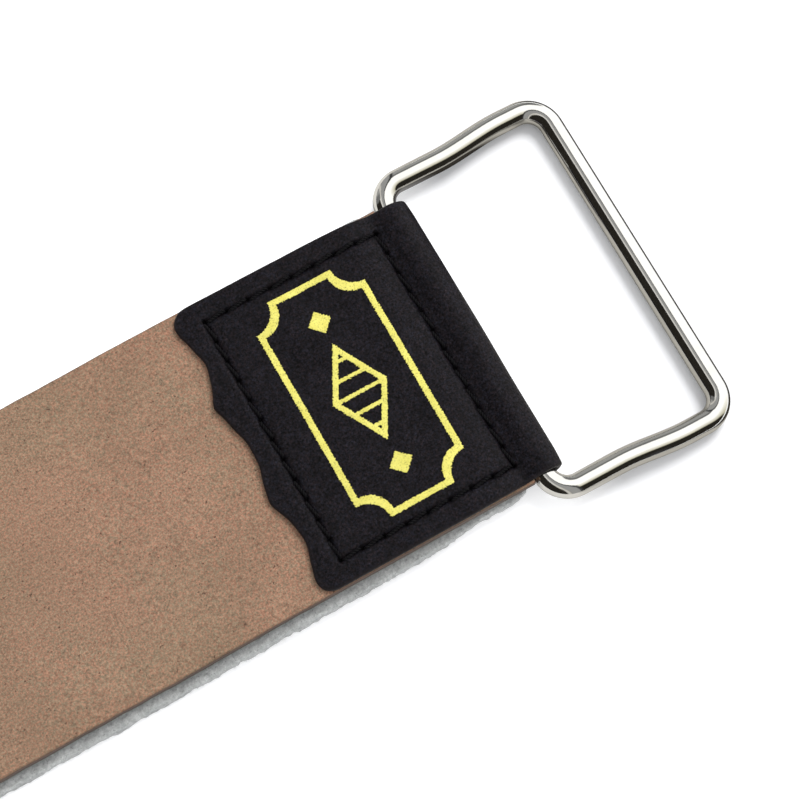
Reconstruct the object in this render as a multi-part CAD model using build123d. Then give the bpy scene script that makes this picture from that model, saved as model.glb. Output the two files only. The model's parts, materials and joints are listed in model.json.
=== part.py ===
"""Hanging strop: a leather strap and a felt strap sewn into two leather end caps.

One cap is folded around a wire handle loop, the other around a three-cornered
ring that carries a swivel snap hook. Units are millimetres. X runs along the
strop towards the handle, Y across it, Z up from the surface it lies on.
"""
import math
import os

from build123d import *

# straps
STRAP_WIDTH = 63.5
LEATHER_THICKNESS = 3.2
FELT_THICKNESS = 3.0
FELT_OVERHANG = 1.0
FELT_CORNER_RADIUS = 4.5
FOLD_TO_FOLD = 540.0
LAYER_GAP = 0.02
SAG_START = 58.0
SAG_LENGTH = 30.0

# end caps
CAP_WIDTH = 63.2
FLAP_THICKNESS = 1.6
CAP_LENGTH = 53.7
SCALLOP_DEPTH = 2.3
SCALLOP_COUNT = 3
CAP_CORNER_RADIUS = 3.5
BORE_RADIUS = 2.7
SEAM_INSET = 9.2
SEAM_PINCH = 0.8
SKIVE_END = 16.0
STRAP_END = 7.0

# sewing
SEAM_FAR = 47.4
SEAM_SIDE = 27.0
STITCHES_ALONG = 8
STITCHES_ACROSS = 12
THREAD_RADIUS = 0.33
THREAD_SEAT = 0.1
LEG_RADIUS = 0.36
GROOVE_WIDTH = 1.3
GROOVE_DEPTH = 0.8
HOLE_RADIUS = 0.42
THREAD_MEETING_GAP = 0.1

# foil ornament
FOIL_THICKNESS = 0.05
FOIL_SINK = 0.03
FOIL_CENTRE = 28.0
FOIL_LENGTH = 24.0
FOIL_WIDTH = 49.0
FOIL_LINE = 1.3
FOIL_THIN_LINE = 0.8
FOIL_NOTCH = 5.0
FOIL_BAR_COUNT = 5
FOIL_BIG_LENGTH = 12.0
FOIL_BIG_WIDTH = 22.0
FOIL_SMALL_LENGTH = 5.0
FOIL_SMALL_WIDTH = 5.0
FOIL_SMALL_OFFSET = 16.0

# handle loop
WIRE_RADIUS = 2.4
WIRE_BUTT_GAP = 0.2
LOOP_NEAR_HALF = 35.7
LOOP_FAR_HALF = 37.0
LOOP_REACH = 38.9
LOOP_NEAR_BEND = 5.1
LOOP_FAR_BEND = 5.4
LOOP_FLARE_START = 13.5
LOOP_FLARE_END = 30.0

# hanger ring
RING_BEND = 5.3
RING_APEX_BEND = 7.0
RING_BAR_HALF = 30.5
RING_BASE_ANGLE = 45.0

# swivel eye
EYE_HOLE_RADIUS = 4.2
EYE_SECTION_RADIUS = 1.6
EYE_SHANK_RADIUS = 2.4
EYE_FLANGE_RADIUS = 3.8
EYE_FLANGE_THICKNESS = 1.0
EYE_NECK_START = 6.3
EYE_HEAD_RADIUS = 3.5
EYE_HEAD_THICKNESS = 2.2
WIRE_SLACK_ALONG = 1.0
WIRE_SLACK_DOWN = 0.9

# snap hook, measured outwards from the eye's centre
HOOK_BASE_START = 9.6
HOOK_COLLAR_RADIUS = 5.0
HOOK_SHANK_BORE = 2.5
COLLAR_OVERLAP = 1.0
WINDOW_START = 14.3
WINDOW_END = 18.3
WINDOW_HALF_WIDTH = 3.9
HOOK_BASE_HALF = 6.2
HOOK_HALF_THICKNESS = 3.3
HOOK_EDGE_ROUND = 1.5
BARREL_OFFSET = 6.0
BARREL_RADIUS = 5.0
BARREL_START = 24.0
BARREL_END = 47.5
BOLT_RADIUS = 2.95
BOLT_BORE_RADIUS = 3.05
BOLT_BORE_START = 22.0
BORE_OVERRUN = 1.0
BOLT_LENGTH = 22.5
BOLT_TRAVEL = 9.5
BOLT_TIP_GAP = 0.15
THROAT_HALF_WIDTH = 6.5
HOOK_BAR_WIDTH = 6.0
HOOK_ARC_CENTRE = 58.0
THROAT_CORNER = 3.0
SPINE_TAPER_END = 44.0
BARREL_TAPER_END = 30.0

# thumb knob and spring
KNOB_POSITION = 43.4
KNOB_RADIUS = 3.0
KNOB_THICKNESS = 2.4
KNOB_STANDOFF = 0.6
KNOB_ROUND = 0.8
STEM_RADIUS = 1.4
STEM_DEPTH = 1.2
STEM_CLEARANCE = 0.02
SLOT_CLEARANCE = 0.1
SPRING_WIRE_RADIUS = 0.25
SPRING_COIL_RADIUS = 2.3
SPRING_TURNS = 4.5
SPRING_END_GAP = 0.3

# derived sizes
STACK_HEIGHT = 2 * FLAP_THICKNESS + LEATHER_THICKNESS + FELT_THICKNESS
MID_HEIGHT = STACK_HEIGHT / 2
STRAPS_HALF = (LEATHER_THICKNESS + FELT_THICKNESS) / 2
INTERFACE_HEIGHT = FLAP_THICKNESS + FELT_THICKNESS
SAG_DROP = FLAP_THICKNESS + LAYER_GAP
FOLD_RADIUS = BORE_RADIUS + FLAP_THICKNESS
HALF_FOLD = FOLD_TO_FOLD / 2
BAR_X = HALF_FOLD - FOLD_RADIUS
EYE_OUTER_RADIUS = EYE_HOLE_RADIUS + 2 * EYE_SECTION_RADIUS
THROAT_CENTRE = BARREL_OFFSET - BOLT_RADIUS - THROAT_HALF_WIDTH
CURVE_STEPS = 4
RIGHT_ANGLE = 90.0
HALF_TURN = 180.0


def smooth_step(t):
    """Half a cosine wave from 0 to 1."""
    return (1 - math.cos(math.pi * t)) / 2


def straps_half(depth):
    """Half the height between the flaps at a distance in from the fold's outer edge."""
    pinched = STRAPS_HALF - SEAM_PINCH
    if depth >= SKIVE_END:
        return STRAPS_HALF
    if depth >= SEAM_INSET:
        t = (depth - SEAM_INSET) / (SKIVE_END - SEAM_INSET)
        return pinched + (STRAPS_HALF - pinched) * smooth_step(t)
    t = (depth - FOLD_RADIUS) / (SEAM_INSET - FOLD_RADIUS)
    return BORE_RADIUS + (pinched - BORE_RADIUS) * smooth_step(t)


def pinch_depths(start):
    """Distances from the fold at which the pinched curve is drawn."""
    first = [start + (SEAM_INSET - start) * i / CURVE_STEPS for i in range(CURVE_STEPS)]
    second = [
        SEAM_INSET + (SKIVE_END - SEAM_INSET) * i / CURVE_STEPS
        for i in range(CURVE_STEPS + 1)
    ]
    return first + second


def flap_curve(sign, offset, start=FOLD_RADIUS):
    """One side's pinched curve, offset outwards from the straps, fold to flat part."""
    points = [
        (HALF_FOLD - d, MID_HEIGHT + sign * (straps_half(d) + offset))
        for d in pinch_depths(start)
    ]
    return Spline(points)


def sag(depth):
    """How far the straps have dropped to the table at a distance from the fold."""
    t = (depth - SAG_START) / SAG_LENGTH
    return SAG_DROP * smooth_step(min(max(t, 0.0), 1.0))


def sag_curve(height, side):
    """The straps' drop from the cap to the table, on the handle's side or the other."""
    steps = 2 * CURVE_STEPS
    depths = [SAG_START + SAG_LENGTH * i / steps for i in range(steps + 1)]
    points = [(side * (HALF_FOLD - d), height - sag(d)) for d in depths]
    if side < 0:
        points.reverse()
    level = (-1, 0)
    return Spline(points, tangents=(level, level))


def strap_line(pinched, height):
    """One long edge of a strap seen from the side, as a list of joined edges."""
    right = pinched
    left = [mirror(edge, Plane.YZ) for edge in pinched]
    flat_end = (HALF_FOLD - SKIVE_END, height)
    sag_top = (HALF_FOLD - SAG_START, height)
    sag_foot = (HALF_FOLD - SAG_START - SAG_LENGTH, height - SAG_DROP)
    middle = [
        Line(flat_end, sag_top),
        sag_curve(height, 1),
        Line(sag_foot, (-sag_foot[0], sag_foot[1])),
        sag_curve(height, -1),
        Line((-sag_top[0], height), (-flat_end[0], height)),
    ]
    return right + middle + left


def across(face, width):
    """A side profile drawn in X and Z, made solid across the strop."""
    upright = Plane.XZ * face
    return extrude(upright, width / 2, both=True)


def joined(curves):
    """Curves that meet end to end, as one wire."""
    return Wire([edge for curve in curves for edge in curve.edges()])


def strap(low_curves, high_curves, width):
    """A strap from its lower and upper lines, closed at both ends and drilled."""
    low = joined(low_curves)
    high = joined(high_curves)
    ends = [Line(low @ 0, high @ 0), Line(low @ 1, high @ 1)]
    body = across(make_face([*low.edges(), *high.edges(), *ends]), width)
    holes = stitch_holes(1) + stitch_holes(-1)
    return body - holes


def pinched_line(sign, offset):
    """A strap's surface inside the cap, from its end to the flat part."""
    return [flap_curve(sign, offset, STRAP_END)]


def interface_line(height):
    """The level line where leather and felt meet inside the cap."""
    return [Line((HALF_FOLD - STRAP_END, height), (HALF_FOLD - SKIVE_END, height))]


def leather_strap():
    """Honing leather, on top."""
    low = strap_line(interface_line(INTERFACE_HEIGHT), INTERFACE_HEIGHT)
    top = STACK_HEIGHT - FLAP_THICKNESS - LAYER_GAP
    high = strap_line(pinched_line(1, -LAYER_GAP), top)
    return strap(low, high, STRAP_WIDTH)


def felt_strap():
    """Felt second strap, underneath and a little wider, its end corners rounded off."""
    low = strap_line(pinched_line(-1, -LAYER_GAP), SAG_DROP)
    level = INTERFACE_HEIGHT - LAYER_GAP
    high = strap_line(interface_line(level), level)
    felt = strap(low, high, STRAP_WIDTH + 2 * FELT_OVERHANG)
    end = HALF_FOLD - STRAP_END - LAYER_GAP
    corners = felt.edges().filter_by(Axis.Z).filter_by(
        lambda e: abs(e.center().X) > end and abs(e.center().Y) > STRAP_WIDTH / 2
    )
    return fillet(corners, FELT_CORNER_RADIUS)


def scallop_outline():
    """The cap's plan: square at the fold, scalloped at its inner edge."""
    half = CAP_WIDTH / 2
    tips = HALF_FOLD - CAP_LENGTH
    chord = CAP_WIDTH / SCALLOP_COUNT
    arcs = []
    for i in range(SCALLOP_COUNT):
        low = -half + i * chord
        middle = (tips + SCALLOP_DEPTH, low + chord / 2)
        arcs.append(ThreePointArc((tips, low), middle, (tips, low + chord)))
    sides = [
        Line((tips, -half), (HALF_FOLD, -half)),
        Line((HALF_FOLD, -half), (HALF_FOLD, half)),
        Line((HALF_FOLD, half), (tips, half)),
    ]
    plan = make_face([*arcs, *sides])
    corners = plan.vertices().filter_by(lambda v: v.X < tips + LAYER_GAP)
    outer = corners.filter_by(lambda v: abs(v.Y) > half - LAYER_GAP)
    return fillet(outer, CAP_CORNER_RADIUS)


def cap_profile():
    """The folded leather seen from the side, tube and both flaps."""
    free = HALF_FOLD - CAP_LENGTH - SCALLOP_DEPTH
    flat = HALF_FOLD - SKIVE_END
    outer = FLAP_THICKNESS
    top = STACK_HEIGHT
    edges = [
        Line((free, 0), (flat, 0)),
        flap_curve(-1, outer),
        ThreePointArc(
            (BAR_X, MID_HEIGHT - FOLD_RADIUS),
            (HALF_FOLD, MID_HEIGHT),
            (BAR_X, MID_HEIGHT + FOLD_RADIUS),
        ),
        flap_curve(1, outer),
        Line((flat, top), (free, top)),
        Line((free, top), (free, top - outer)),
        Line((free, top - outer), (flat, top - outer)),
        flap_curve(1, 0.0),
        ThreePointArc(
            (BAR_X, MID_HEIGHT + BORE_RADIUS),
            (BAR_X + BORE_RADIUS, MID_HEIGHT),
            (BAR_X, MID_HEIGHT - BORE_RADIUS),
        ),
        flap_curve(-1, 0.0),
        Line((flat, outer), (free, outer)),
        Line((free, outer), (free, 0)),
    ]
    return make_face(edges)


def stitch_points():
    """Where the needle went through, in order round the seam, as depth and Y."""
    run = SEAM_FAR - SEAM_INSET
    span = 2 * SEAM_SIDE
    along = [SEAM_INSET + run * i / STITCHES_ALONG for i in range(STITCHES_ALONG)]
    back = [SEAM_FAR - run * i / STITCHES_ALONG for i in range(STITCHES_ALONG)]
    step = span / STITCHES_ACROSS
    first = [(d, -SEAM_SIDE) for d in along]
    far = [(SEAM_FAR, -SEAM_SIDE + step * i) for i in range(STITCHES_ACROSS)]
    second = [(d, SEAM_SIDE) for d in back]
    near = [(SEAM_INSET, SEAM_SIDE - step * i) for i in range(STITCHES_ACROSS)]
    return first + far + second + near


def stitch_holes(side):
    """Needle holes through the whole stack, at the handle's end or the other."""
    return [
        Pos(side * (HALF_FOLD - d), y, MID_HEIGHT)
        * Cylinder(HOLE_RADIUS, 2 * STACK_HEIGHT)
        for d, y in stitch_points()
    ]


def seam_frame():
    """The groove's plan, a rectangular frame along the seam."""
    run = SEAM_FAR - SEAM_INSET
    span = 2 * SEAM_SIDE
    outside = Rectangle(run + GROOVE_WIDTH, span + GROOVE_WIDTH)
    inside = Rectangle(run - GROOVE_WIDTH, span - GROOVE_WIDTH)
    centre = HALF_FOLD - (SEAM_FAR + SEAM_INSET) / 2
    return Pos(centre, 0) * (outside - inside)


def groove(sign):
    """Channel that the thread is pulled down into, on the top or bottom flap."""
    level = FLAP_THICKNESS - GROOVE_DEPTH
    depths = [d for d in pinch_depths(FOLD_RADIUS) if d >= SEAM_INSET]
    curve = [(HALF_FOLD - d, MID_HEIGHT + sign * (straps_half(d) + level)) for d in depths]
    clear = MID_HEIGHT + sign * STACK_HEIGHT
    near = (HALF_FOLD - SEAM_INSET + GROOVE_WIDTH, curve[0][1])
    far = (HALF_FOLD - SEAM_FAR - GROOVE_WIDTH, curve[-1][1])
    level_in = (-1, 0)
    profile = [
        Line(near, curve[0]),
        Spline(curve, tangents=(level_in, level_in)),
        Line(curve[-1], far),
        Line(far, (far[0], clear)),
        Line((far[0], clear), (near[0], clear)),
        Line((near[0], clear), near),
    ]
    above_floor = across(make_face(profile), CAP_WIDTH)
    return above_floor & extrude(seam_frame(), 2 * STACK_HEIGHT, both=True)


def end_cap(foil=None):
    """A leather end cap at the handle's end, with grooves, needle holes and foil dents."""
    plan = extrude(scallop_outline(), 2 * STACK_HEIGHT, both=True)
    cap = across(cap_profile(), CAP_WIDTH) & plan
    cap = cap - groove(1) - groove(-1) - stitch_holes(1)
    if foil is not None:
        cap = cap - foil
    return cap


def thread(sign):
    """One thread of the lockstitch: a run on one face, legs down to the middle."""
    rest = FLAP_THICKNESS - GROOVE_DEPTH + THREAD_RADIUS + THREAD_SEAT
    spots = [
        Vector(HALF_FOLD - d, y, MID_HEIGHT + sign * (straps_half(d) + rest))
        for d, y in stitch_points()
    ]
    foot = MID_HEIGHT + sign * THREAD_MEETING_GAP
    pieces = []
    for here, there in zip(spots, spots[1:] + spots[:1]):
        along = (there - here).normalized()
        start = here + along * THREAD_SEAT
        section = Plane(origin=start, z_dir=along) * Circle(THREAD_RADIUS)
        pieces.append(extrude(section, (there - here).length - 2 * THREAD_SEAT))
        head = here.Z + sign * LEG_RADIUS
        leg = Cylinder(LEG_RADIUS, abs(head - foot))
        pieces.append(Pos(here.X, here.Y, (head + foot) / 2) * leg)
    return Part() + pieces


def notched_plate(length, width, notch):
    """A rectangle whose corners are scooped out by circles."""
    plate = Rectangle(length, width)
    scoops = [
        Pos(x * length / 2, y * width / 2) * Circle(notch) for x in (-1, 1) for y in (-1, 1)
    ]
    return plate - scoops


def lozenge(length, width):
    """A rhombus, long way across the strop."""
    return make_face(
        Polyline((-length / 2, 0), (0, -width / 2), (length / 2, 0), (0, width / 2), close=True)
    )


def foil_pattern():
    """A notched border round three lozenges, the middle one barred."""
    inner_length = FOIL_LENGTH - 2 * FOIL_LINE
    inner_width = FOIL_WIDTH - 2 * FOIL_LINE
    border = notched_plate(FOIL_LENGTH, FOIL_WIDTH, FOIL_NOTCH)
    border -= notched_plate(inner_length, inner_width, FOIL_NOTCH)
    big = lozenge(FOIL_BIG_LENGTH, FOIL_BIG_WIDTH)
    hollow = lozenge(
        FOIL_BIG_LENGTH - 2 * FOIL_LINE,
        FOIL_BIG_WIDTH - 2 * FOIL_LINE * FOIL_BIG_WIDTH / FOIL_BIG_LENGTH,
    )
    step = FOIL_BIG_WIDTH / (FOIL_BAR_COUNT + 1)
    bars = [
        Pos(0, -FOIL_BIG_WIDTH / 2 + step * (i + 1)) * Rectangle(FOIL_BIG_LENGTH, FOIL_THIN_LINE)
        for i in range(FOIL_BAR_COUNT)
    ]
    centre = big - hollow + [bar & big for bar in bars]
    small = lozenge(FOIL_SMALL_LENGTH, FOIL_SMALL_WIDTH)
    ends = [Pos(0, y * FOIL_SMALL_OFFSET) * small for y in (-1, 1)]
    return Pos(HALF_FOLD - FOIL_CENTRE, 0) * (border + centre + ends)


def foil_solids(depth, height):
    """The ornament's shapes made solid, from below the cap's face to above it."""
    faces = [Pos(0, 0, STACK_HEIGHT - depth) * face for face in foil_pattern().faces()]
    return [extrude(face, height) for face in faces]


def swept_wire(path):
    """Round wire bent along a path."""
    section = Plane(origin=path @ 0, z_dir=path % 0) * Circle(WIRE_RADIUS)
    return sweep(section, path)


def handle_loop():
    """The handle: one length of wire, its ends butting inside the fold."""
    near_corner = LOOP_NEAR_HALF - LOOP_NEAR_BEND
    far_corner = LOOP_FAR_HALF - LOOP_FAR_BEND
    far_start = LOOP_REACH - LOOP_FAR_BEND
    gap = WIRE_BUTT_GAP / 2
    forward = (1, 0)
    half = [
        Line((0, gap), (0, near_corner)),
        CenterArc((LOOP_NEAR_BEND, near_corner), LOOP_NEAR_BEND, HALF_TURN, -RIGHT_ANGLE),
        Line((LOOP_NEAR_BEND, LOOP_NEAR_HALF), (LOOP_FLARE_START, LOOP_NEAR_HALF)),
        Spline(
            (LOOP_FLARE_START, LOOP_NEAR_HALF),
            (LOOP_FLARE_END, LOOP_FAR_HALF),
            tangents=(forward, forward),
        ),
        Line((LOOP_FLARE_END, LOOP_FAR_HALF), (far_start, LOOP_FAR_HALF)),
        CenterArc((far_start, far_corner), LOOP_FAR_BEND, RIGHT_ANGLE, -RIGHT_ANGLE),
    ]
    far_bar = Line((LOOP_REACH, far_corner), (LOOP_REACH, -far_corner))
    other = [mirror(edge, Plane.XZ) for edge in reversed(half)]
    path = joined([*half, far_bar, *other])
    droop = math.degrees(math.asin((MID_HEIGHT - WIRE_RADIUS) / LOOP_REACH))
    return Pos(BAR_X, 0, MID_HEIGHT) * Rot(0, droop, 0) * swept_wire(path)


def ring_apex():
    """How far the ring's apex wire is from its bar."""
    half_turn = math.radians((HALF_TURN - RING_BASE_ANGLE) / 2)
    corner = RING_BAR_HALF + RING_BEND * math.tan(half_turn)
    sharp = corner * math.tan(math.radians(RING_BASE_ANGLE))
    return sharp - RING_APEX_BEND * (1 / math.cos(math.radians(RING_BASE_ANGLE)) - 1)


def ring_tilt():
    """Angle at which the ring rises from the fold to the eye, in degrees."""
    apex_height = EYE_OUTER_RADIUS - WIRE_SLACK_DOWN
    return math.degrees(math.asin((apex_height - MID_HEIGHT) / ring_apex()))


def hanger_ring():
    """Three-cornered ring, its wire ends butting inside the fold."""
    turn = HALF_TURN - RING_BASE_ANGLE
    apex_centre = ring_apex() - RING_APEX_BEND
    base_arc = CenterArc((RING_BEND, RING_BAR_HALF), RING_BEND, HALF_TURN, -turn)
    apex_arc = CenterArc(
        (apex_centre, 0), RING_APEX_BEND, RING_BASE_ANGLE, -2 * RING_BASE_ANGLE
    )
    bar = Line((0, WIRE_BUTT_GAP / 2), (0, RING_BAR_HALF))
    half = [bar, base_arc, Line(base_arc @ 1, apex_arc @ 0)]
    other = [mirror(edge, Plane.XZ) for edge in reversed(half)]
    path = joined([*half, apex_arc, *other])
    ring = Rot(0, -ring_tilt(), 0) * swept_wire(path)
    return Pos(-BAR_X, 0, MID_HEIGHT) * mirror(ring, Plane.YZ)


def eye_centre():
    """Where the swivel eye's centre lies, from the strop's middle."""
    apex_x = BAR_X + ring_apex() * math.cos(math.radians(ring_tilt()))
    return Vector(-apex_x - WIRE_SLACK_ALONG, 0, EYE_OUTER_RADIUS)


def hook_tilt():
    """Angle at which the hook leans down so that eye and barrel both touch the table."""
    reach = math.hypot(BARREL_END, BARREL_RADIUS)
    lean = math.atan2(BARREL_RADIUS, BARREL_END)
    return math.degrees(math.asin(EYE_OUTER_RADIUS / reach) - lean)


def hang(piece):
    """Move a piece drawn outwards along X from the eye's centre to its place."""
    centre = eye_centre()
    turned = Rot(0, 0, HALF_TURN) * piece
    return Pos(*centre) * Rot(0, -hook_tilt(), 0) * turned


def along_x(radius, start, end):
    """A round bar lying along X."""
    bar = Cylinder(radius, end - start)
    return Pos((start + end) / 2, 0, 0) * Rot(0, RIGHT_ANGLE, 0) * bar


def swivel_eye():
    """Cast ring with a shank whose end is peened over inside the hook's window."""
    ring = Rot(RIGHT_ANGLE, 0, 0) * Torus(EYE_HOLE_RADIUS + EYE_SECTION_RADIUS, EYE_SECTION_RADIUS)
    flange_end = HOOK_BASE_START - SLOT_CLEARANCE
    flange_start = flange_end - EYE_FLANGE_THICKNESS
    head_start = WINDOW_START + SLOT_CLEARANCE
    flange = along_x(EYE_FLANGE_RADIUS, flange_start, flange_end)
    shank = along_x(EYE_SHANK_RADIUS, EYE_NECK_START, head_start)
    head = along_x(EYE_HEAD_RADIUS, head_start, head_start + EYE_HEAD_THICKNESS)
    rim = head.edges().sort_by(Axis.X)[-1]
    return ring + flange + shank + fillet(rim, EYE_HEAD_THICKNESS / 2)


def hook_plan():
    """The hook's outline: base, barrel side, nose, throat and spine."""
    spine_out = THROAT_CENTRE - THROAT_HALF_WIDTH - HOOK_BAR_WIDTH
    spine_in = THROAT_CENTRE - THROAT_HALF_WIDTH
    nose_in = THROAT_CENTRE + THROAT_HALF_WIDTH
    nose_out = nose_in + HOOK_BAR_WIDTH
    barrel_out = BARREL_OFFSET + BARREL_RADIUS
    outer_reach = HOOK_ARC_CENTRE + THROAT_HALF_WIDTH + HOOK_BAR_WIDTH
    inner_reach = HOOK_ARC_CENTRE + THROAT_HALF_WIDTH
    ahead = (1, 0)
    edges = [
        Spline(
            (WINDOW_START, -HOOK_BASE_HALF),
            (SPINE_TAPER_END, spine_out),
            tangents=(ahead, ahead),
        ),
        Line((SPINE_TAPER_END, spine_out), (HOOK_ARC_CENTRE, spine_out)),
        ThreePointArc(
            (HOOK_ARC_CENTRE, spine_out), (outer_reach, THROAT_CENTRE), (HOOK_ARC_CENTRE, nose_out)
        ),
        Line((HOOK_ARC_CENTRE, nose_out), (HOOK_ARC_CENTRE, nose_in)),
        ThreePointArc(
            (HOOK_ARC_CENTRE, nose_in), (inner_reach, THROAT_CENTRE), (HOOK_ARC_CENTRE, spine_in)
        ),
        Line((HOOK_ARC_CENTRE, spine_in), (BARREL_END + THROAT_CORNER, spine_in)),
        CenterArc(
            (BARREL_END + THROAT_CORNER, spine_in + THROAT_CORNER),
            THROAT_CORNER,
            -RIGHT_ANGLE,
            -RIGHT_ANGLE,
        ),
        Line((BARREL_END, spine_in + THROAT_CORNER), (BARREL_END, barrel_out)),
        Line((BARREL_END, barrel_out), (BARREL_TAPER_END, barrel_out)),
        Spline(
            (BARREL_TAPER_END, barrel_out),
            (WINDOW_START, HOOK_BASE_HALF),
            tangents=((-1, 0), (-1, 0)),
        ),
        Line((WINDOW_START, HOOK_BASE_HALF), (WINDOW_START, -HOOK_BASE_HALF)),
    ]
    return make_face(edges)


def snap_hook_body():
    """One casting: swivel base, barrel, spine and hook."""
    plate = extrude(hook_plan(), HOOK_HALF_THICKNESS, both=True)
    rims = plate.edges().filter_by(
        lambda e: abs(abs(e.center().Z) - HOOK_HALF_THICKNESS) < LAYER_GAP
    )
    plate = fillet(rims, HOOK_EDGE_ROUND)
    collar = along_x(HOOK_COLLAR_RADIUS, HOOK_BASE_START, WINDOW_START + COLLAR_OVERLAP)
    collar = fillet(collar.edges().sort_by(Axis.X)[0], HOOK_EDGE_ROUND)
    barrel = Pos(0, BARREL_OFFSET, 0) * along_x(BARREL_RADIUS, BARREL_START, BARREL_END)
    dome = Pos(BARREL_START, BARREL_OFFSET, 0) * Sphere(BARREL_RADIUS)
    window_length = WINDOW_END - WINDOW_START
    window = Pos((WINDOW_START + WINDOW_END) / 2, 0, 0) * Box(
        window_length, 2 * WINDOW_HALF_WIDTH, 4 * HOOK_COLLAR_RADIUS
    )
    shank_bore = along_x(HOOK_SHANK_BORE, 0, WINDOW_END)
    bore_end = BARREL_END + BORE_OVERRUN
    bolt_bore = Pos(0, BARREL_OFFSET, 0) * along_x(BOLT_BORE_RADIUS, BOLT_BORE_START, bore_end)
    return plate + collar + barrel + dome - window - shank_bore - bolt_bore - knob_slot()


def knob_slot():
    """Slot along the barrel in which the knob's stem travels."""
    half = STEM_RADIUS + SLOT_CLEARANCE
    start = KNOB_POSITION - BOLT_TRAVEL
    plan = Pos((start + KNOB_POSITION) / 2, BARREL_OFFSET) * SlotCenterToCenter(
        BOLT_TRAVEL, 2 * half
    )
    return extrude(plan, 2 * BARREL_RADIUS)


def snap_bolt():
    """Sliding bolt, closed against the hook's nose, with a socket for the stem."""
    tip = HOOK_ARC_CENTRE - BOLT_TIP_GAP
    bolt = along_x(BOLT_RADIUS, tip - BOLT_LENGTH, tip)
    bolt = chamfer(bolt.edges().sort_by(Axis.X)[-1], BOLT_TIP_GAP)
    socket_base = BOLT_RADIUS - STEM_DEPTH
    socket = Pos(KNOB_POSITION, 0, socket_base + BOLT_RADIUS) * Cylinder(
        STEM_RADIUS + STEM_CLEARANCE, 2 * BOLT_RADIUS
    )
    return Pos(0, BARREL_OFFSET, 0) * (bolt - socket)


def thumb_knob():
    """Round knob on a stem pressed into the bolt."""
    foot = BOLT_RADIUS - STEM_DEPTH
    underside = BARREL_RADIUS + KNOB_STANDOFF
    stem = Pos(0, 0, (foot + underside) / 2) * Cylinder(STEM_RADIUS, underside - foot)
    button = Cylinder(KNOB_RADIUS, KNOB_THICKNESS)
    button = fillet(button.edges(), KNOB_ROUND)
    button = Pos(0, 0, underside + KNOB_THICKNESS / 2) * button
    return Pos(KNOB_POSITION, BARREL_OFFSET, 0) * (stem + button)


def bolt_spring():
    """Compression spring behind the bolt, in the barrel's blind bore."""
    start = BOLT_BORE_START + SPRING_WIRE_RADIUS + SPRING_END_GAP
    end = HOOK_ARC_CENTRE - BOLT_TIP_GAP - BOLT_LENGTH - SPRING_WIRE_RADIUS - SPRING_END_GAP
    length = end - start
    coil = Helix(length / SPRING_TURNS, length, SPRING_COIL_RADIUS)
    section = Plane(origin=coil @ 0, z_dir=coil % 0) * Circle(SPRING_WIRE_RADIUS)
    spring = sweep(section, coil)
    return Pos(start, BARREL_OFFSET, 0) * Rot(0, RIGHT_ANGLE, 0) * spring


def on_hanger_side(piece):
    """The same piece at the other end of the strop."""
    return mirror(piece, Plane.YZ)


def strop():
    """Every node, placed about the strop's middle."""
    foil = foil_solids(FOIL_SINK, FOIL_THICKNESS)
    needle = thread(1)
    bobbin = thread(-1)
    return {
        "leather_strap": leather_strap(),
        "felt_strap": felt_strap(),
        "handle_cap": end_cap(foil_solids(FOIL_SINK, FLAP_THICKNESS)),
        "handle_cap_foil": Compound(foil),
        "handle_cap_needle_thread": needle,
        "handle_cap_bobbin_thread": bobbin,
        "handle_loop": handle_loop(),
        "hanger_cap": on_hanger_side(end_cap()),
        "hanger_cap_needle_thread": on_hanger_side(needle),
        "hanger_cap_bobbin_thread": on_hanger_side(bobbin),
        "hanger_ring": hanger_ring(),
        "swivel_eye": hang(swivel_eye()),
        "snap_hook_body": hang(snap_hook_body()),
        "snap_bolt": hang(snap_bolt()),
        "thumb_knob": hang(thumb_knob()),
        "bolt_spring": hang(bolt_spring()),
    }


def main():
    """Centre the whole strop on the origin and write one file for each node."""
    nodes = strop()
    box = Compound(list(nodes.values())).bounding_box()
    centring = Pos(-box.center().X, 0, 0)
    os.makedirs("parts", exist_ok=True)
    for name, shape in nodes.items():
        export_step(centring * shape, f"parts/{name}.step")


main()
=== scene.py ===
"""Looks of the hanging strop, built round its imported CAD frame.

X runs along the strop towards the handle, Y across it, Z up. Lengths are in metres.
"""
import json
import math

import bmesh
import bpy
import numpy as np
from mathutils import Matrix, Vector


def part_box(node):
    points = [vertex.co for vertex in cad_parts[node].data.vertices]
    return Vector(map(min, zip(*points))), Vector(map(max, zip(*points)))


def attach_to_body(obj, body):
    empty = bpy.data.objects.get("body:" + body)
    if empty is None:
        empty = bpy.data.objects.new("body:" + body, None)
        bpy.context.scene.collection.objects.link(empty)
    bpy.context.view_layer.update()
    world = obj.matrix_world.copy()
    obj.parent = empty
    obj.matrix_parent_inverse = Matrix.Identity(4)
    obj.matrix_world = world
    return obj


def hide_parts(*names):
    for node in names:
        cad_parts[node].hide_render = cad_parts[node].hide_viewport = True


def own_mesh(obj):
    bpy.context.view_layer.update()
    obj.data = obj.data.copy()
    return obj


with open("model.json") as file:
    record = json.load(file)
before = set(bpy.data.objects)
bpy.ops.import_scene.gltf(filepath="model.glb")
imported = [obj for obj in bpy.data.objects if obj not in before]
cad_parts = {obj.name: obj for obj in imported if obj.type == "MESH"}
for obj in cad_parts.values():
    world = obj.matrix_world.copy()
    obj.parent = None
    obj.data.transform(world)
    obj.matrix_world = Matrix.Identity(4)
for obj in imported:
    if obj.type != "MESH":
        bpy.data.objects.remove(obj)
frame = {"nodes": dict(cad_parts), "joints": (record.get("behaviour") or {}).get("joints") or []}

MM = 0.001

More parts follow.
